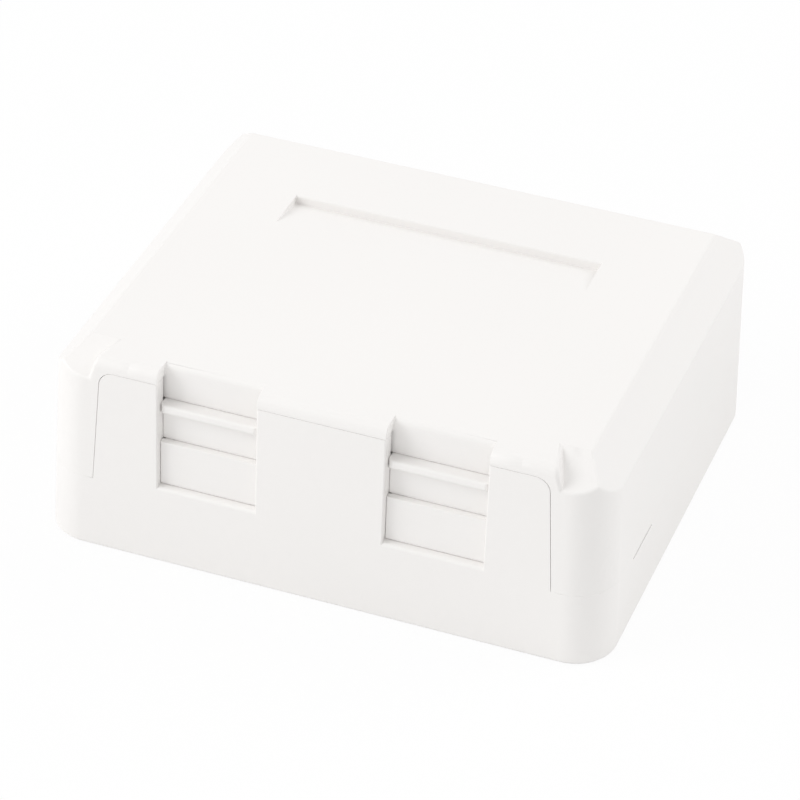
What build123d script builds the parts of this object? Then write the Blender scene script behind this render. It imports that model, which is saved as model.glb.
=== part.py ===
from build123d import *
from math import copysign, cos, hypot, radians, sin, tan
import os

# A two-port surface mount jack box: a moulded base with its front panel, a
# hipped cover that lifts off, and a blank insert in each of the two ports.
# Millimetres, +Z up, the ports face -Y. The origin is at the middle of the
# floor that the box stands on.

# Housing
width = 83.0
depth = 71.0
height = 31.5
corner_radius = 6.2
side_draft = 2.0
front_draft = 0.5
back_draft = 1.0
parting_height = 11.6
floor_thickness = 2.0
base_wall = 2.0
cover_wall = 1.8
roof_thickness = 1.9
floor_edge_chamfer = 0.4

# Hips: how far the roof's edge lies inside the outline at the floor, and how
# far below the roof each hip meets its wall
side_roof_inset = 5.5
front_roof_inset = 6.1
back_roof_inset = 6.6
side_hip_drop = 4.6
front_hip_drop = 3.45
back_hip_drop = 4.6
hip_edge_radius = 0.6

# Front block, which carries the roof out to the front wall over the ports. Its
# ends spread towards the front and towards the foot, up to the rounded corners
block_end_gap = 0.2
block_end_turn = 12.0
block_end_slope = 16.0
block_edge_radius = 1.6

# Front panel, part of the base, and the seam round it
panel_margin = 8.1
panel_slope = 3.7
panel_corner_radius = 2.2
panel_thickness = 2.2
seam_gap = 0.05
top_seam_gap = 0.04
panel_back_clearance = 0.5

# Ports
port_width = 14.5
port_spacing = 33.0
sill_under_roof = 18.85
sill_edge_radius = 0.6
port_edge_radius = 0.25
notch_wall = 1.5
notch_edge_radius = 1.0

# Blank insert
insert_side_gap = 0.4
insert_floor_gap = 0.05
face_recess = 1.3
face_height = 7.0
face_thickness = 0.9
face_side_gap = 0.04
face_edge_radius = 0.15
insert_depth = 12.0
insert_wall = 1.3
tongue_gap = 0.06
tongue_thickness = 1.2
tongue_height = 6.14
tongue_recess = 2.3
tongue_side_gap = 0.04
lip_reach = 1.3
lip_thickness = 1.45
lip_corner_radius = 0.9
lip_foot_radius = 0.6
lip_top_gap = 0.05
tongue_radius = 0.4
grip_clearance = 0.08
grip_setback = 7.0

# Cradle behind each port
cradle_wall = 1.4
cradle_depth = 17.0
cradle_top_over_face = 2.4
shelf_thickness = 1.6
stop_height = 2.4
stop_thickness = 1.4
stop_gap = 0.3

# Lap joint between the base and the skirt of the cover
lap_inset = 1.0
lap_height = 1.4
lap_gap = 0.15

# Snap hooks of the cover and their slots in the base
snap_width = 8.6
side_snap_setback = 17.1
back_snap_offset = 26.0
hook_height = 10.35
hook_thickness = 0.5
hook_reach = 0.9
leg_thickness = 1.4
leg_overhang = 1.4
leg_root_height = 5.0
snap_gap = 0.15
slot_height = 0.4

# Label recess
label_width = 46.6
label_front_setback = 42.4
label_length = 8.0
label_depth = 1.35
label_floor = 1.2
label_edge_radius = 0.3

# Ribs under the roof
roof_rib_height = 1.4
roof_rib_thickness = 1.2
roof_rib_spacing = 18.0
roof_rib_count = 4
roof_rib_end_gap = 3.0

# Wall-screw slots in the floor
screw_spacing = 60.3
screw_setback = 40.0
screw_slot_width = 4.4
screw_slot_travel = 4.6
screw_pad_margin = 3.0
screw_pad_height = 1.0
screw_head_width = 8.4
screw_head_depth = 0.8

# Cable ways
floor_opening_width = 22.0
floor_opening_length = 14.0
floor_opening_radius = 2.0
floor_opening_setback = 53.0
knockout_width = 16.0
knockout_height = 7.0
knockout_radius = 3.0
knockout_top_margin = 1.3
knockout_score = 0.8
knockout_web = 0.7
side_knockout_setback = 50.0

# Cable-tie bridges
bridge_width = 8.0
bridge_length = 4.0
bridge_height = 4.2
bridge_tunnel_width = 4.6
bridge_tunnel_height = 2.4
bridge_spacing = 30.0
bridge_front_setback = 27.0
bridge_row_spacing = 10.0

# Cutting solids run this far past the faces that they cut
overrun = 3.0

# Corners inside thick walls are rounded by no less than this
smallest_radius = 1.0

# Edges are found by their place to within this distance
tolerance = 0.01

# Edges that lean by less than this, in degrees, count as upright
upright_tilt = 25.0

# Places worked out from the sizes above
side_lean = tan(radians(side_draft))
front_lean = tan(radians(front_draft))
back_lean = tan(radians(back_draft))
notch_depth = panel_thickness + front_lean * height + panel_back_clearance
port_sill = height - sill_under_roof
face_bottom = port_sill + insert_floor_gap
face_top = face_bottom + face_height
tongue_bottom = face_top + tongue_gap
lip_top = tongue_bottom + tongue_height
notch_foot = lip_top + lip_top_gap
port_centres = {"left": -port_spacing / 2, "right": port_spacing / 2}


def from_front(distance):
    """Y coordinate at a distance behind the front of the outline at the floor."""
    return distance - depth / 2


def side_wall(z, inset=0.0):
    """X coordinate of the right side wall at a height, moved inwards by inset."""
    return width / 2 - side_lean * z - inset


def front_wall(z, inset=0.0):
    """Y coordinate of the front wall at a height, moved inwards by inset."""
    return -depth / 2 + front_lean * z + inset


def back_wall(z, inset=0.0):
    """Y coordinate of the back wall at a height, moved inwards by inset."""
    return depth / 2 - back_lean * z - inset


def outline(z, inset=0.0):
    """Rounded rectangle of the drafted housing at a height."""
    front = front_wall(z, inset)
    back = back_wall(z, inset)
    with BuildSketch(Plane.XY.offset(z)) as section:
        with Locations((0, (front + back) / 2)):
            radius = max(corner_radius - inset, smallest_radius)
            RectangleRounded(2 * side_wall(z, inset), back - front, radius)
    return section.sketch


def housing_form(low, high, inset=0.0, mode=Mode.ADD):
    """Drafted solid of the housing between two heights."""
    return loft([outline(low, inset), outline(high, inset)], ruled=True, mode=mode)


def hip_section(plane, roof_edge, wall_edge, drop, inward=0.0):
    """Triangle over the slope from the top of a wall up to the roof's edge."""
    run = wall_edge - roof_edge
    slope_length = hypot(run, drop)
    aside = -copysign(inward, run) * drop / slope_length
    down = -inward * abs(run) / slope_length
    extra = overrun / drop
    top = (roof_edge - run * extra + aside, height + overrun + down)
    foot = (wall_edge + run * extra + aside, height - drop - overrun + down)
    with BuildSketch(plane) as section:
        with BuildLine():
            Polyline(top, foot, (foot[0], top[1]), close=True)
        make_face()
    return section.sketch


def cut_side_and_back_hips(inward=0.0):
    """Cuts the slopes of both sides and of the back."""
    side_top = side_wall(height - side_hip_drop)
    roof_side = width / 2 - side_roof_inset
    for side in (1, -1):
        slope = hip_section(Plane.XZ, side * roof_side, side * side_top, side_hip_drop, inward)
        extrude(slope, amount=depth, both=True, mode=Mode.SUBTRACT)
    back_top = back_wall(height - back_hip_drop)
    slope = hip_section(Plane.YZ, depth / 2 - back_roof_inset, back_top, back_hip_drop, inward)
    extrude(slope, amount=width, both=True, mode=Mode.SUBTRACT)


def front_corner(side, inward=0.0):
    """Solid over the front slope, beside the end of the front block."""
    turn = radians(block_end_turn)
    slope = radians(block_end_slope)
    outward = Vector(side * cos(slope) * cos(turn), cos(slope) * sin(turn), sin(slope))
    foot_z = height - front_hip_drop
    foot_x = side_wall(foot_z, corner_radius + block_end_gap)
    foot = Vector(side * foot_x, front_wall(foot_z), foot_z)
    with BuildPart() as corner:
        with BuildSketch(Plane(origin=foot - outward * inward, z_dir=outward)):
            Rectangle(2 * depth, 2 * depth)
        extrude(amount=width)
        hip = hip_section(Plane.YZ, from_front(front_roof_inset), foot.Y, front_hip_drop, inward)
        extrude(hip, amount=width, both=True, mode=Mode.INTERSECT)
    return corner.part


def panel_half_width(z):
    """Half the width of the panel's opening in the cover at a height."""
    return width / 2 - panel_margin - tan(radians(panel_slope)) * (z - parting_height)


def panel_section(low, gap=0.0, top_gap=0.0):
    """Front view of the panel, or with no gaps of the opening it stands in."""
    top = height - roof_thickness - top_gap
    with BuildSketch(Plane.XZ) as section:
        with BuildLine():
            Polyline(
                (-panel_half_width(low) + gap, low),
                (panel_half_width(low) - gap, low),
                (panel_half_width(top) - gap, top),
                (-panel_half_width(top) + gap, top),
                close=True,
            )
        make_face()
        upper_corners = section.vertices().group_by(Axis.Y)[-1]
        fillet(upper_corners, panel_corner_radius)
    return section.sketch


def box_between(x, y, z, mode=Mode.ADD):
    """Box between the given pairs of X, Y and Z coordinates."""
    centre = ((x[0] + x[1]) / 2, (y[0] + y[1]) / 2, (z[0] + z[1]) / 2)
    with Locations(centre):
        Box(abs(x[1] - x[0]), abs(y[1] - y[0]), abs(z[1] - z[0]), mode=mode)


def edges_across(piece, y):
    """Edges of a piece that run along X at a Y coordinate."""
    return piece.edges().filter_by(Axis.X).filter_by_position(Axis.Y, y - tolerance, y + tolerance)


def knockout_section(plane, place):
    """Ring that scores a knock-out in a wall of the base."""
    middle = parting_height - knockout_top_margin - knockout_height / 2
    with BuildSketch(plane) as section:
        with Locations((place, middle)):
            RectangleRounded(knockout_width, knockout_height, knockout_radius)
            RectangleRounded(
                knockout_width - 2 * knockout_score,
                knockout_height - 2 * knockout_score,
                knockout_radius - knockout_score,
                mode=Mode.SUBTRACT,
            )
    return section.sketch


def snap_places():
    """Plane across each snap, with X pointing outwards, and its wall's place."""
    side_y = from_front(side_snap_setback)
    side_x = side_wall(parting_height)
    back_y = back_wall(parting_height)
    yield Plane(origin=(0, side_y, 0), x_dir=(1, 0, 0), z_dir=(0, -1, 0)), side_x
    yield Plane(origin=(0, side_y, 0), x_dir=(-1, 0, 0), z_dir=(0, 1, 0)), side_x
    for x in (-back_snap_offset, back_snap_offset):
        yield Plane(origin=(x, 0, 0), x_dir=(0, 1, 0), z_dir=(1, 0, 0)), back_y


def snap_leg_section(plane, wall_place):
    """Section of a snap leg: its root on the cover's wall and its hook."""
    outer = wall_place - base_wall - snap_gap
    inner = outer - leg_thickness
    root_bottom = parting_height + lap_height + lap_gap
    root_top = root_bottom + leg_root_height
    hook_top = hook_height + hook_thickness / 2
    hook_bottom = hook_height - hook_thickness / 2
    leg_bottom = hook_bottom - leg_overhang
    with BuildSketch(plane) as section:
        with BuildLine():
            Polyline(
                (inner, root_top),
                (wall_place - cover_wall / 2, root_top),
                (wall_place - cover_wall / 2, root_bottom),
                (outer, root_bottom),
                (outer, hook_top),
                (outer + hook_reach, hook_top),
                (outer + hook_reach, hook_bottom),
                (outer, leg_bottom),
                (inner, leg_bottom),
                close=True,
            )
        make_face()
    return section.sketch


# Tool solids

with BuildPart() as lap:
    housing_form(parting_height - base_wall, parting_height + lap_height, lap_inset)
    housing_form(0, height, base_wall, mode=Mode.SUBTRACT)
    panel_edge = panel_half_width(parting_height) + seam_gap
    box_between(
        (-panel_edge, panel_edge),
        (front_wall(0), front_wall(0) + corner_radius),
        (parting_height, height),
        mode=Mode.SUBTRACT,
    )

with BuildPart() as panel:
    housing_form(0, height)
    extrude(
        panel_section(floor_thickness, seam_gap, top_seam_gap),
        amount=depth,
        both=True,
        mode=Mode.INTERSECT,
    )
    housing_form(-overrun, height + overrun, panel_thickness, mode=Mode.SUBTRACT)
    box_between(
        (-width, width),
        (front_wall(height, panel_thickness), depth),
        (-overrun, height + overrun),
        mode=Mode.SUBTRACT,
    )

outer_corners = [front_corner(side) for side in (1, -1)]
inner_corners = [front_corner(side, cover_wall) for side in (1, -1)]

with BuildPart() as cavity:
    housing_form(parting_height - overrun, height - roof_thickness, cover_wall)
    cut_side_and_back_hips(cover_wall)
    add(inner_corners, mode=Mode.SUBTRACT)

# Base

with BuildPart() as base:
    loft([outline(0, floor_edge_chamfer), outline(floor_edge_chamfer)], ruled=True)
    housing_form(floor_edge_chamfer, parting_height)
    housing_form(floor_thickness, parting_height + overrun, base_wall, mode=Mode.SUBTRACT)

    # The lap is a thin rim that stands inside the cover's skirt, and the front
    # panel stands up from the tray, flush with the cover's front
    add(lap.part)
    add(panel.part)

    # Each port is a slot in the panel, open at its top
    for port_x in port_centres.values():
        box_between(
            (port_x - port_width / 2, port_x + port_width / 2),
            (front_wall(0) - overrun, front_wall(height, panel_thickness) + overrun),
            (port_sill, height),
            mode=Mode.SUBTRACT,
        )

    # The sill's front edge is rounded more than the upright ones
    sill_edges = edges_across(base, front_wall(port_sill)).group_by(Axis.Z)[-1]
    fillet(sill_edges, sill_edge_radius)
    ports_reach = (port_spacing + port_width) / 2 + port_edge_radius
    upright_edges = (
        base.edges()
        .filter_by_position(Axis.X, -ports_reach, ports_reach)
        .filter_by_position(Axis.Y, front_wall(0), front_wall(height))
        .filter_by_position(Axis.Z, port_sill - sill_edge_radius, notch_foot)
        .filter_by(lambda edge: abs(edge.tangent_at(0.5).Z) > cos(radians(upright_tilt)))
    )
    fillet(upright_edges, port_edge_radius)

    # Cradles: two guide walls, a shelf and a low stop behind each port
    cradle_front = front_wall(0, panel_thickness / 2)
    cradle_back = from_front(cradle_depth)
    stop_front = from_front(face_recess + insert_depth + stop_gap)
    for port_x in port_centres.values():
        for side in (1, -1):
            inner = port_x + side * port_width / 2
            box_between(
                (inner, inner + side * cradle_wall),
                (cradle_front, cradle_back),
                (floor_thickness / 2, face_top + cradle_top_over_face),
            )
        shelf_reach = (port_width + cradle_wall) / 2
        shelf_x = (port_x - shelf_reach, port_x + shelf_reach)
        stop_back = stop_front + stop_thickness
        box_between(shelf_x, (cradle_front, stop_back), (port_sill - shelf_thickness, port_sill))
        box_between(shelf_x, (stop_front, stop_back), (port_sill, port_sill + stop_height))

    # Reliefs inside the wall and slots through it for the snap hooks
    for plane, wall_place in snap_places():
        relief_face = wall_place - base_wall + hook_reach
        relief_bottom = hook_height - hook_thickness / 2 - leg_overhang - snap_gap
        with BuildSketch(plane):
            with Locations((relief_face, relief_bottom)):
                Rectangle(2 * base_wall, height, align=(Align.MAX, Align.MIN))
        extrude(amount=snap_width / 2 + snap_gap, both=True, mode=Mode.SUBTRACT)
        with BuildSketch(plane):
            with Locations((wall_place, hook_height)):
                Rectangle(2 * base_wall, slot_height)
        extrude(amount=snap_width / 2, both=True, mode=Mode.SUBTRACT)

    # Pads with wall-screw slots, each sunk for the screw's head
    screw_places = [(side * screw_spacing / 2, from_front(screw_setback)) for side in (1, -1)]
    pad_top = floor_thickness + screw_pad_height
    for low, high, slot_width, mode in (
        (floor_thickness, pad_top, screw_slot_width + 2 * screw_pad_margin, Mode.ADD),
        (0, pad_top, screw_slot_width, Mode.SUBTRACT),
        (pad_top - screw_head_depth, pad_top, screw_head_width, Mode.SUBTRACT),
    ):
        with BuildSketch(Plane.XY.offset(low)):
            with Locations(*screw_places):
                SlotCenterToCenter(screw_slot_travel, slot_width)
        extrude(amount=high - low, mode=mode)

    # Opening in the floor for cables that come out of the wall
    with BuildSketch(Plane.XY):
        with Locations((0, from_front(floor_opening_setback))):
            RectangleRounded(floor_opening_width, floor_opening_length, floor_opening_radius)
    extrude(amount=floor_thickness, mode=Mode.SUBTRACT)

    # Knock-outs: the back one is scored outside and the side ones inside
    score_depth = base_wall - knockout_web
    back_score = back_wall(parting_height, score_depth)
    extrude(
        knockout_section(Plane.XZ.offset(-back_score), 0),
        amount=-2 * base_wall,
        mode=Mode.SUBTRACT,
    )
    for side in (1, -1):
        side_score = side * side_wall(parting_height, knockout_web)
        extrude(
            knockout_section(Plane.YZ.offset(side_score), from_front(side_knockout_setback)),
            amount=-side * 2 * base_wall,
            mode=Mode.SUBTRACT,
        )

    # Cable-tie bridges
    bridge_middle = from_front(bridge_front_setback + bridge_row_spacing / 2)
    with Locations((0, bridge_middle, floor_thickness)):
        with GridLocations(bridge_spacing, bridge_row_spacing, 2, 2):
            Box(bridge_width, bridge_length, bridge_height, align=(Align.CENTER, Align.CENTER, Align.MIN))
    with Locations((0, bridge_middle, floor_thickness)):
        with GridLocations(bridge_spacing, bridge_row_spacing, 2, 2):
            Box(
                bridge_tunnel_width,
                2 * bridge_length,
                bridge_tunnel_height,
                align=(Align.CENTER, Align.CENTER, Align.MIN),
                mode=Mode.SUBTRACT,
            )

base.part.label = "base"

# Cover

with BuildPart() as cover:
    housing_form(parting_height, height)
    cut_side_and_back_hips()
    add(outer_corners, mode=Mode.SUBTRACT)
    roof_edges = cover.faces().sort_by(Axis.Z)[-1].edges()
    fillet(roof_edges.sort_by(Axis.Y)[0], block_edge_radius)
    hips_foot = height - max(side_hip_drop, back_hip_drop) - hip_edge_radius
    upper_edges = cover.edges().filter_by_position(Axis.Z, hips_foot, height)
    ridges = upper_edges.filter_by(Edge.is_interior, reverse=True)
    near_front = (from_front(0), from_front(corner_radius))
    front_edges = ridges.filter_by(Axis.X).filter_by_position(Axis.Y, *near_front)
    fillet([edge for edge in ridges if edge not in front_edges], hip_edge_radius)
    add(cavity.part, mode=Mode.SUBTRACT)

    # The skirt's inner half is cut back to go over the base's lap
    housing_form(
        parting_height - overrun,
        parting_height + lap_height + lap_gap,
        lap_inset - lap_gap,
        mode=Mode.SUBTRACT,
    )

    # Opening in the front wall that the base's panel stands in
    extrude(panel_section(parting_height - overrun), amount=depth, mode=Mode.SUBTRACT)

    # Wall at the back of the notch over each port, and the notch
    notch_back = from_front(notch_depth)
    for port_x in port_centres.values():
        half_wall = port_width / 2 + notch_wall
        box_between(
            (port_x - half_wall, port_x + half_wall),
            (notch_back, notch_back + notch_wall),
            (notch_foot, height - roof_thickness / 2),
        )
        box_between(
            (port_x - port_width / 2, port_x + port_width / 2),
            (front_wall(0) - overrun, notch_back),
            (notch_foot - overrun, height + overrun),
            mode=Mode.SUBTRACT,
        )
    notch_edges = edges_across(cover, notch_back)
    fillet(notch_edges.group_by(Axis.Z)[-1], notch_edge_radius)

    # Ribs under the roof, from behind the notches to the back
    rib_front = notch_back + notch_wall
    rib_back = depth / 2 - back_roof_inset - roof_rib_end_gap
    rib_bottom = height - roof_thickness - roof_rib_height
    for count in range(roof_rib_count):
        rib_x = (count - (roof_rib_count - 1) / 2) * roof_rib_spacing
        box_between(
            (rib_x - roof_rib_thickness / 2, rib_x + roof_rib_thickness / 2),
            (rib_front - notch_wall / 2, rib_back),
            (rib_bottom, height - roof_thickness / 2),
        )

    # Label recess: its floor slopes down to the back, over a thicker pad
    label_front = from_front(label_front_setback)
    label_back = label_front + label_length
    pad_bottom = height - label_depth - label_floor
    box_between(
        (-label_width / 2 - label_floor, label_width / 2 + label_floor),
        (label_back - label_length / 2, label_back + label_floor),
        (pad_bottom, height - roof_thickness / 2),
    )
    with BuildSketch(Plane.YZ):
        with BuildLine():
            Polyline(
                (label_front, height),
                (label_back, height - label_depth),
                (label_back, height + overrun),
                (label_front, height + overrun),
                close=True,
            )
        make_face()
    extrude(amount=label_width / 2, both=True, mode=Mode.SUBTRACT)
    label_edge = edges_across(cover, label_back)
    fillet(label_edge.group_by(Axis.Z)[-1], label_edge_radius)

    # Snap legs
    for plane, wall_place in snap_places():
        extrude(snap_leg_section(plane, wall_place), amount=snap_width / 2 - snap_gap, both=True)

cover.part.label = "cover"


def blank_insert(port_x):
    """One moulding: a hollow block with a face, and a latch tongue over it."""
    face_front = from_front(face_recess)
    face_side = port_width / 2 - face_side_gap
    block_front = face_front + face_thickness
    block_back = face_front + insert_depth
    block_side = port_width / 2 - insert_side_gap
    post_front = block_back - insert_wall
    post_foot = face_top - insert_wall / 2
    arm_top = tongue_bottom + tongue_thickness
    riser_front = from_front(tongue_recess)
    riser_back = riser_front + tongue_thickness
    lip_front = riser_front - lip_reach
    with BuildPart() as tongue:
        with BuildSketch(Plane.YZ.offset(port_x)) as profile:
            with BuildLine():
                Polyline(
                    (block_back, post_foot),
                    (block_back, arm_top),
                    (riser_back, arm_top),
                    (riser_back, lip_top),
                    (lip_front, lip_top),
                    (lip_front, lip_top - lip_thickness),
                    (riser_front, lip_top - lip_thickness),
                    (riser_front, tongue_bottom),
                    (post_front, tongue_bottom),
                    (post_front, post_foot),
                    close=True,
                )
            make_face()
            corners = profile.vertices().group_by(Axis.Y)
            fillet(corners[-2], lip_foot_radius)
            corners = profile.vertices().group_by(Axis.Y)
            fillet(corners[2] + corners[-1], tongue_radius)
        extrude(amount=port_width, both=True)
        with BuildSketch(Plane.XY.offset(post_foot)):
            with Locations((port_x, (lip_front + block_back) / 2)):
                tongue_width = port_width - 2 * tongue_side_gap
                RectangleRounded(tongue_width, block_back - lip_front, lip_corner_radius)
        extrude(amount=height, mode=Mode.INTERSECT)
    with BuildPart() as insert:
        box_between(
            (port_x - face_side, port_x + face_side),
            (face_front, block_front),
            (face_bottom, face_top),
        )
        fillet(insert.faces().sort_by(Axis.Y)[0].edges(), face_edge_radius)
        box_between(
            (port_x - block_side, port_x + block_side),
            (block_front, block_back),
            (face_bottom, face_top),
        )
        box_between(
            (port_x - block_side + insert_wall, port_x + block_side - insert_wall),
            (block_front, block_back + overrun),
            (face_bottom + insert_wall, face_top - insert_wall),
            mode=Mode.SUBTRACT,
        )
        # Half-round ribs run close to the cradle's guide walls
        rib_y = face_front + grip_setback
        for side in (1, -1):
            with Locations((port_x + side * block_side, rib_y, (face_bottom + face_top) / 2)):
                Cylinder(insert_side_gap - grip_clearance, face_height - 2 * insert_wall)
        add(tongue.part)
    return insert


os.makedirs("parts", exist_ok=True)
pieces = [base.part, cover.part]
for side, port_x in port_centres.items():
    insert = blank_insert(port_x)
    insert.part.label = side + "_blank"
    pieces.append(insert.part)
for piece in pieces:
    export_step(piece, "parts/" + piece.label + ".step")
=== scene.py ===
"""Looks of a surface mount jack box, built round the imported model.

The box has two mouldings, a base with its front panel and a hipped cover, and a
blank insert in each of its two ports. All four are white ABS with a satin skin.
Lengths are in metres, +Z is up, and the ports face -Y.
"""
import logging
import math
from dataclasses import dataclass
from enum import Enum

import bmesh
import bpy
from mathutils import Matrix, Vector


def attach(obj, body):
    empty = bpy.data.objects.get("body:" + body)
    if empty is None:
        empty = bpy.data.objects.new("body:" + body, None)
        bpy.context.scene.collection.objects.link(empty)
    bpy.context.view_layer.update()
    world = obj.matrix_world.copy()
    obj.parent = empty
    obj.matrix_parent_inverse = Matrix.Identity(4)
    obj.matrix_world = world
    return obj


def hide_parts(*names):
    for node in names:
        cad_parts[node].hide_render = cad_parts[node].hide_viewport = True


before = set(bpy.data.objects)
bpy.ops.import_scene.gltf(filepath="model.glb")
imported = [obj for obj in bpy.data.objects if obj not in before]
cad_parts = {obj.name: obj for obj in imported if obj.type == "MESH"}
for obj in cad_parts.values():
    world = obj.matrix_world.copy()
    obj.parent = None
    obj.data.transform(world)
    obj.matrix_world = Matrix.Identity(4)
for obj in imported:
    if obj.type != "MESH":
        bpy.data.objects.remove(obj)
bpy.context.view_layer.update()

MM = 0.001
WHITE = "FFFFFF"

log = logging.getLogger("jack_box")


class NodeKind(str, Enum):
    """Shader nodes that the finishes use."""

    BACKGROUND = "ShaderNodeBackground"
    BUMP = "ShaderNodeBump"
    COORDINATES = "ShaderNodeTexCoord"
    DIFFUSE = "ShaderNodeBsdfDiffuse"
    EMISSION = "ShaderNodeEmission"
    LIGHT_PATH = "ShaderNodeLightPath"
    MAP_RANGE = "ShaderNodeMapRange"
    MATERIAL_OUTPUT = "ShaderNodeOutputMaterial"
    MATHS = "ShaderNodeMath"
    MIX_COLOUR = "ShaderNodeMix"
    MIX_SHADER = "ShaderNodeMixShader"
    NOISE = "ShaderNodeTexNoise"
    PRINCIPLED = "ShaderNodeBsdfPrincipled"
    WORLD_OUTPUT = "ShaderNodeOutputWorld"


def linear(hex_colour: str) -> tuple[float, float, float, float]:
    """Turns an sRGB hex colour into a linear one.

    Args:
        hex_colour: six hex digits, such as "F4F2F0".

    Returns:
        Red, green and blue from 0 to 1 in linear light, and an alpha of 1.
    """
    channels = [int(hex_colour[i:i + 2], 16) / 255 for i in (0, 2, 4)]
    red, green, blue = (
        c / 12.92 if c <= 0.04045 else ((c + 0.055) / 1.055) ** 2.4 for c in channels
    )
    return red, green, blue, 1.0


def add_node(
    tree: bpy.types.NodeTree, kind: NodeKind, inputs: dict | None = None, **settings: object
) -> bpy.types.Node:
    """Adds a node to a tree, with its settings, values and links.

    Args:
        tree: the tree that gets the node.
        kind: what the node is.
        inputs: for an input's identifier, its value or the output linked to it.
        settings: the node's own properties by name.

    Returns:
        The new node.
    """
    node = tree.nodes.new(kind.value)
    for name, value in settings.items():
        setattr(node, name, value)
    sockets = {socket.identifier: socket for socket in node.inputs}
    for name, value in (inputs or {}).items():
        if isinstance(value, bpy.types.NodeSocket):
            tree.links.new(value, sockets[name])
        else:
            sockets[name].default_value = value
    return node


def towards(azimuth_deg: float, elevation_deg: float) -> Vector:
    """Gives the direction from the object to a place around it.

    Args:
        azimuth_deg: the place seen from above, 0 in front, 90 to the right.
        elevation_deg: how high the place is over the floor.

    Returns:
        A vector of length 1.
    """
    azimuth = math.radians(azimuth_deg)
    elevation = math.radians(elevation_deg)
    return Vector((
        math.sin(azimuth) * math.cos(elevation),
        -math.cos(azimuth) * math.cos(elevation),
        math.sin(elevation),
    ))


@dataclass(frozen=True)
class MouldedAbs:
    """White ABS, injection moulded in a finely sparked tool.

    The tool's texture gives the eye a satin skin: broad soft highlights, no
    mirror image, and a grain seen only in raking light. Thick places sink a
    little as they cool, which bends a highlight slightly.

    Attributes:
        name: the material's name.
        pale: the paler of the two tints that run into each other.
        deep: the deeper tint.
        ior: how strongly the skin mirrors.
        smoothest: the least roughness of the skin.
        roughest: the greatest roughness.
        grain_mm: width of the sparked grain. The real one is about 0.05 mm across,
            too fine to show, so it is drawn coarser.
        grain_depth_mm: depth of the grain.
        sink_mm: width of a sunk place.
        sink_depth_mm: depth of a sunk place.
        tint_patch_mm: width of a patch of one tint.
        gloss_patch_mm: width of a patch of one roughness.
        grain_detail: how many finer layers the grain has.
        tint_detail: how many finer layers the tint has.
        gloss_detail: how many finer layers the roughness has.
    """

    name: str
    pale: str = "F5F3F1"
    deep: str = "F2F0EE"
    ior: float = 1.53
    smoothest: float = 0.40
    roughest: float = 0.50
    grain_mm: float = 0.35
    grain_depth_mm: float = 0.004
    sink_mm: float = 16.0
    sink_depth_mm: float = 0.05
    tint_patch_mm: float = 40.0
    gloss_patch_mm: float = 7.0
    grain_detail: float = 2.0
    tint_detail: float = 1.0
    gloss_detail: float = 3.0

    def build(self) -> bpy.types.Material:
        """Makes the material.

        Returns:
            The material, with all its patterns on object coordinates.
        """
        material = bpy.data.materials.new(self.name)
        material.use_nodes = True
        tree = material.node_tree
        tree.nodes.clear()
        place = add_node(tree, NodeKind.COORDINATES).outputs["Object"]

        tint = add_node(tree, NodeKind.NOISE, {
            "Vector": place,
            "Scale": 1 / (self.tint_patch_mm * MM),
            "Detail": self.tint_detail,
        })
        colour = add_node(tree, NodeKind.MIX_COLOUR, {
            "Factor_Float": tint.outputs["Fac"],
            "A_Color": linear(self.pale),
            "B_Color": linear(self.deep),
        }, data_type="RGBA")
        gloss = add_node(tree, NodeKind.NOISE, {
            "Vector": place,
            "Scale": 1 / (self.gloss_patch_mm * MM),
            "Detail": self.gloss_detail,
        })
        roughness = add_node(tree, NodeKind.MAP_RANGE, {
            "Value": gloss.outputs["Fac"], "To Min": self.smoothest, "To Max": self.roughest,
        })
        sink = add_node(tree, NodeKind.NOISE, {
            "Vector": place, "Scale": 1 / (self.sink_mm * MM), "Detail": 0.0,
        })
        grain = add_node(tree, NodeKind.NOISE, {
            "Vector": place,
            "Scale": 1 / (self.grain_mm * MM),
            "Detail": self.grain_detail,
        })
        sunk = add_node(tree, NodeKind.BUMP, {
            "Height": sink.outputs["Fac"], "Distance": self.sink_depth_mm * MM,
        })
        skin = add_node(tree, NodeKind.BUMP, {
            "Height": grain.outputs["Fac"],
            "Distance": self.grain_depth_mm * MM,
            "Normal": sunk.outputs["Normal"],
        })
        shader = add_node(tree, NodeKind.PRINCIPLED, {
            "Base Color": next(o for o in colour.outputs if o.identifier == "Result_Color"),
            "Roughness": roughness.outputs["Result"],
            "IOR": self.ior,
            "Normal": skin.outputs["Normal"],
        })
        add_node(tree, NodeKind.MATERIAL_OUTPUT, {"Surface": shader.outputs["BSDF"]})
        return material


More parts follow.
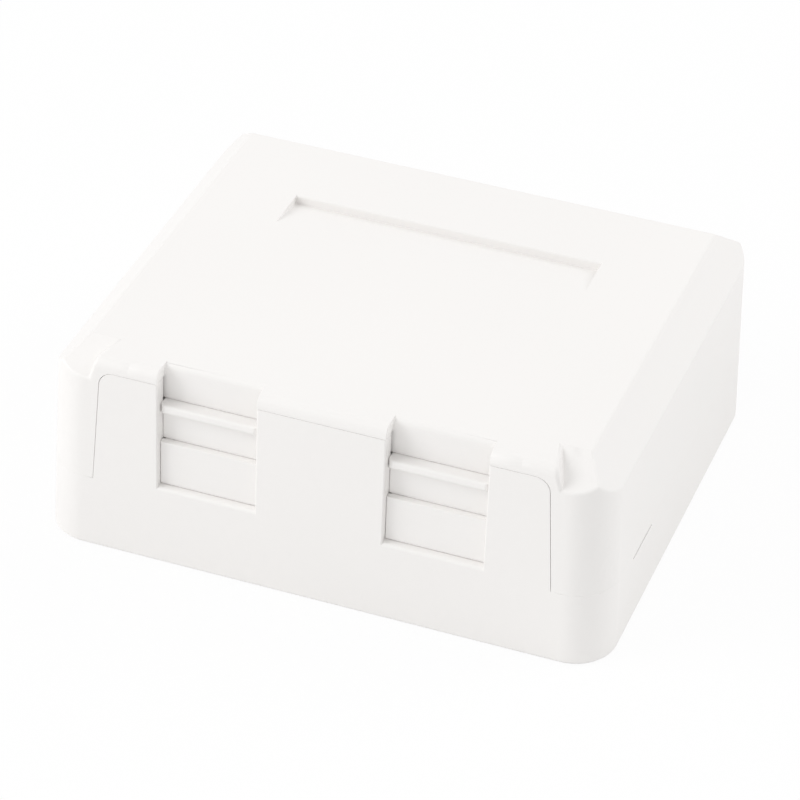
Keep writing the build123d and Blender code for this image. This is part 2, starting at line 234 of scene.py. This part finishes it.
@dataclass
class Moulding:
    """One moulding, finished from the CAD node of the same name.

    Attributes:
        node: the CAD node that the moulding is made from.
        body: the CAD body that the moulding rides on.
        finish: what it is moulded in.
        edge_mm: how far the rounding of a sharp edge reaches.
        parting_mm: height of a parting line, where the edges stay crisper.
        parting_edge_mm: how far the rounding reaches at the parting line.
        sharp_deg: edges that turn by more than this are rounded.
        rounding_steps: faces across a rounding.
        crease_deg: an edge that was left unrounded and turns by more than this is
            shaded as sharp. The steps of a rounding turn by less.
        flat_deg: triangles that turn by less than this are one face.
        weld_mm: the CAD mesh's loose corners join within this distance.
        sliver_mm: a face narrower than this lies in a rounding, and its normal is
            too rough to tell whether its edges are sharp.
        rounds_inner: whether inside corners are rounded as well.
    """

    node: str
    body: str
    finish: MouldedAbs
    edge_mm: float = 0.07
    parting_mm: float | None = None
    parting_edge_mm: float = 0.03
    sharp_deg: float = 26.0
    rounding_steps: int = 2
    crease_deg: float = 50.0
    flat_deg: float = 0.05
    weld_mm: float = 0.002
    sliver_mm: float = 0.014
    rounds_inner: bool = True

    def build(self) -> bpy.types.Object:
        """Makes the moulding's mesh, dresses it and lets it ride on its body.

        Returns:
            The finished piece, which stands for its CAD node.
        """
        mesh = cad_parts[self.node].data.copy()
        mesh.name = self.node + "_moulding"
        shape = bmesh.new()
        shape.from_mesh(mesh)
        bmesh.ops.remove_doubles(shape, verts=shape.verts, dist=self.weld_mm * MM)
        bmesh.ops.dissolve_limit(
            shape, angle_limit=math.radians(self.flat_deg), verts=shape.verts, edges=shape.edges
        )
        if self.parting_mm is not None:
            at_parting = [e for e in self.sharp_edges(shape) if self.is_at_parting(e)]
            self.round_edges(shape, at_parting, self.parting_edge_mm)
        others = [e for e in self.sharp_edges(shape) if not self.is_at_parting(e)]
        self.round_edges(shape, others, self.edge_mm)
        for face in shape.faces:
            face.smooth = True
        for edge in shape.edges:
            if edge.is_manifold and edge.calc_face_angle() > math.radians(self.crease_deg):
                edge.smooth = False
        shape.to_mesh(mesh)
        shape.free()
        mesh.materials.clear()
        mesh.materials.append(self.finish.build())
        piece = bpy.data.objects.new(mesh.name, mesh)
        bpy.context.scene.collection.objects.link(piece)
        shading = piece.modifiers.new("flat faces stay flat", "WEIGHTED_NORMAL")
        shading.mode = "FACE_AREA_WITH_ANGLE"
        shading.keep_sharp = True
        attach(piece, self.body)
        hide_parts(self.node)
        log.info("%s: %d faces", piece.name, len(mesh.polygons))
        return piece

    def sharp_edges(self, shape: bmesh.types.BMesh) -> list[bmesh.types.BMEdge]:
        """Finds the edges to round, those beside slivers left out.

        Args:
            shape: the closed shape that has the edges.

        Returns:
            The edges that turn by more than sharp_deg.
        """
        limit = math.radians(self.sharp_deg)
        return [
            e for e in shape.edges
            if e.is_manifold
            and (self.rounds_inner or e.is_convex)
            and e.calc_face_angle() > limit
            and not any(self.is_sliver(face) for face in e.link_faces)
        ]

    def is_sliver(self, face: bmesh.types.BMFace) -> bool:
        """Tells whether a face is narrower than sliver_mm."""
        longest = max(edge.calc_length() for edge in face.edges)
        return 2 * face.calc_area() < self.sliver_mm * MM * longest

    def is_at_parting(self, edge: bmesh.types.BMEdge) -> bool:
        """Tells whether an edge belongs to the parting line.

        Args:
            edge: an edge of the moulding.

        Returns:
            True where both its ends lie at the parting line's height.
        """
        if self.parting_mm is None:
            return False
        reach = 2 * self.parting_edge_mm
        return all(abs(v.co.z / MM - self.parting_mm) < reach for v in edge.verts)

    def round_edges(
        self, shape: bmesh.types.BMesh, edges: list[bmesh.types.BMEdge], radius_mm: float
    ) -> None:
        """Rounds edges of a shape.

        Args:
            shape: the shape that is changed.
            edges: the edges that are rounded.
            radius_mm: how far from the edge the rounding begins.
        """
        radius = radius_mm * MM
        crowded = self.crowded_edges(edges, room=2 * radius)
        bmesh.ops.bevel(
            shape,
            geom=[e for e in edges if e not in crowded],
            offset=radius,
            affect="EDGES",
            segments=self.rounding_steps,
            profile=0.5,
            material=-1,
            clamp_overlap=False,
        )

    def crowded_edges(
        self, edges: list[bmesh.types.BMEdge], room: float
    ) -> set[bmesh.types.BMEdge]:
        """Finds edges that stay sharp, because their roundings would meet.

        Args:
            edges: the edges that are to be rounded.
            room: the least width of a face between two roundings.

        Returns:
            Each edge that runs beside another one of its face with less room.
        """
        wanted = set(edges)
        crowded = set()
        for face in {face for edge in edges for face in edge.link_faces}:
            sides = [edge for edge in face.edges if edge in wanted]
            for side in sides:
                low, high = (vert.co for vert in side.verts)
                middle = (low + high) / 2
                for other in sides:
                    start, end = (vert.co for vert in other.verts)
                    share = (middle - start).dot(end - start) / (end - start).length_squared
                    across = start.lerp(end, share) - middle
                    if other is not side and 0 < share < 1 and across.length < room:
                        crowded |= {side, other}
        return crowded


@dataclass
class Housing:
    """The base with its front panel, and the cover over it.

    Attributes:
        plastic: the first part of the finish's name.
        parting_mm: height of the line where the cover stands on the base.
    """

    plastic: str = "satin_white_abs"
    parting_mm: float = 11.6

    def build(self) -> list[bpy.types.Object]:
        """Makes both mouldings of the housing.

        Returns:
            The base and the cover.
        """
        made = []
        for node in ("base", "cover"):
            finish = MouldedAbs(self.plastic + "_" + node)
            made.append(Moulding(node, node, finish, parting_mm=self.parting_mm).build())
        return made


@dataclass
class PortBlanks:
    """The inserts that close the two ports, smaller mouldings with crisper edges.

    The ribs on their sides are too small for rounded inside corners.

    Attributes:
        plastic: the first part of the finish's name.
        edge_mm: how far the rounding of a sharp edge reaches.
        sharp_deg: edges that turn by more than this are rounded. The facets of
            the ribs turn by up to 29 degrees.
    """

    plastic: str = "satin_white_abs"
    edge_mm: float = 0.04
    sharp_deg: float = 35.0

    def build(self) -> list[bpy.types.Object]:
        """Makes both inserts.

        Returns:
            The left insert and the right one.
        """
        made = []
        for node in ("left_blank", "right_blank"):
            finish = MouldedAbs(self.plastic + "_" + node)
            piece = Moulding(
                node, node, finish,
                edge_mm=self.edge_mm, sharp_deg=self.sharp_deg, rounds_inner=False,
            )
            made.append(piece.build())
        return made


@dataclass(frozen=True)
class PhotoCamera:
    """The photograph's camera, fitted to the corners of the box.

    Attributes:
        azimuth_deg: its direction seen from above, 0 in front, 90 to the right.
        elevation_deg: how high it looks down from.
        roll_deg: how far it is turned about its own axis.
        distance: from the aim to the camera.
        aim: the point in the middle of the picture.
        sensor_mm: the sensor's width.
        lens_mm: the focal length.
        nearest: where its view begins.
    """

    azimuth_deg: float = 18.81
    elevation_deg: float = 34.67
    roll_deg: float = 2.369
    distance: float = 0.5182
    aim: tuple[float, float, float] = (0.00128, -0.00675, 0.0158)
    sensor_mm: float = 36.0
    lens_mm: float = 164.96
    nearest: float = 0.01

    def build(self) -> bpy.types.Object:
        """Makes the camera and gives it to the scene.

        Returns:
            The camera's object.
        """
        azimuth = math.radians(self.azimuth_deg)
        back = towards(self.azimuth_deg, self.elevation_deg)
        level = Vector((math.cos(azimuth), math.sin(azimuth), 0.0))
        right = Matrix.Rotation(math.radians(self.roll_deg), 3, back) @ level
        turn = Matrix((right, back.cross(right), back)).transposed().to_4x4()

        data = bpy.data.cameras.new("photo_camera")
        data.sensor_fit = "HORIZONTAL"
        data.sensor_width = self.sensor_mm
        data.lens = self.lens_mm
        data.clip_start = self.nearest
        camera = bpy.data.objects.new(data.name, data)
        camera.matrix_world = Matrix.Translation(Vector(self.aim) + self.distance * back) @ turn
        bpy.context.scene.collection.objects.link(camera)
        bpy.context.scene.camera = camera
        return camera


@dataclass(frozen=True)
class SoftLamp:
    """A square soft box that faces the object.

    Attributes:
        name: the lamp's name.
        azimuth_deg: its direction seen from above, 0 in front, 90 to the right.
        elevation_deg: how high it stands over the floor.
        distance: from the object to the lamp.
        side: the length of the soft box's side.
        watts: its power.
    """

    name: str
    azimuth_deg: float
    elevation_deg: float
    distance: float
    side: float
    watts: float

    def build(self) -> bpy.types.Object:
        """Makes the lamp, turned towards the object's place.

        Returns:
            The lamp's object.
        """
        away = towards(self.azimuth_deg, self.elevation_deg)
        data = bpy.data.lights.new(self.name, "AREA")
        data.shape = "SQUARE"
        data.size = self.side
        data.energy = self.watts
        lamp = bpy.data.objects.new(self.name, data)
        lamp.location = away * self.distance
        lamp.rotation_euler = away.to_track_quat("Z", "Y").to_euler()
        bpy.context.scene.collection.objects.link(lamp)
        return lamp


@dataclass
class Studio:
    """A white floor, an even sky and two soft boxes.

    Attributes:
        sky: the level of the world's light on the object.
        floor_side: the length of the floor's side.
        floor_colour: what the floor sends back on to the object.
        floor_glow: how much of the floor that the camera sees is plain white,
            the rest of it shows the object's shadow.
        lamps: the soft boxes.
    """

    sky: float = 0.73
    floor_side: float = 6.0
    floor_colour: str = "F6F6F6"
    floor_glow: float = 0.92
    lamps: tuple[SoftLamp, ...] = (
        SoftLamp("key_soft_box", -58.0, 35.0, 1.2, 0.7, 5.2),
        SoftLamp("side_soft_box", 125.0, 36.0, 1.2, 0.7, 3.4),
    )

    def build(self) -> None:
        """Makes the floor, the sky and the lamps."""
        self.make_floor()
        self.make_sky()
        for lamp in self.lamps:
            lamp.build()

    def make_floor(self) -> None:
        """Makes the floor, white to the camera apart from the object's shadow."""
        shape = bmesh.new()
        bmesh.ops.create_grid(shape, x_segments=1, y_segments=1, size=self.floor_side / 2)
        mesh = bpy.data.meshes.new("studio_floor")
        shape.to_mesh(mesh)
        shape.free()
        material = bpy.data.materials.new("white_paper")
        material.use_nodes = True
        tree = material.node_tree
        tree.nodes.clear()
        seen = add_node(tree, NodeKind.LIGHT_PATH).outputs["Is Camera Ray"]
        share = add_node(tree, NodeKind.MATHS, {
            "Value": seen, "Value_001": self.floor_glow,
        }, operation="MULTIPLY")
        paper = add_node(tree, NodeKind.DIFFUSE, {"Color": linear(self.floor_colour)})
        glow = add_node(tree, NodeKind.EMISSION, {"Color": linear(WHITE), "Strength": 1.0})
        both = add_node(tree, NodeKind.MIX_SHADER, {
            "Fac": share.outputs["Value"],
            "Shader": paper.outputs["BSDF"],
            "Shader_001": glow.outputs["Emission"],
        })
        add_node(tree, NodeKind.MATERIAL_OUTPUT, {"Surface": both.outputs["Shader"]})
        mesh.materials.append(material)
        floor = bpy.data.objects.new(mesh.name, mesh)
        bpy.context.scene.collection.objects.link(floor)

    def make_sky(self) -> None:
        """Makes a world that is white to the camera and softer on the object."""
        world = bpy.data.worlds.new("studio_sky")
        world.use_nodes = True
        tree = world.node_tree
        tree.nodes.clear()
        path = add_node(tree, NodeKind.LIGHT_PATH)
        mirrored = add_node(tree, NodeKind.MATHS, {
            "Value": path.outputs["Is Glossy Ray"],
            "Value_001": path.outputs["Is Transmission Ray"],
        }, operation="MAXIMUM")
        seen = add_node(tree, NodeKind.MATHS, {
            "Value": path.outputs["Is Camera Ray"],
            "Value_001": mirrored.outputs["Value"],
        }, operation="MAXIMUM")
        light = add_node(tree, NodeKind.BACKGROUND, {
            "Color": linear(WHITE), "Strength": self.sky,
        })
        white = add_node(tree, NodeKind.BACKGROUND, {"Color": linear(WHITE), "Strength": 1.0})
        both = add_node(tree, NodeKind.MIX_SHADER, {
            "Fac": seen.outputs["Value"],
            "Shader": light.outputs["Background"],
            "Shader_001": white.outputs["Background"],
        })
        add_node(tree, NodeKind.WORLD_OUTPUT, {"Surface": both.outputs["Shader"]})
        bpy.context.scene.world = world


def main() -> None:
    """Builds the camera, the studio and each sub-assembly in order."""
    logging.basicConfig(level=logging.INFO, format="%(name)s: %(message)s")
    bpy.context.scene.view_settings.view_transform = "Standard"
    PhotoCamera().build()
    Studio().build()
    Housing().build()
    PortBlanks().build()


if __name__ == "__main__":
    main()
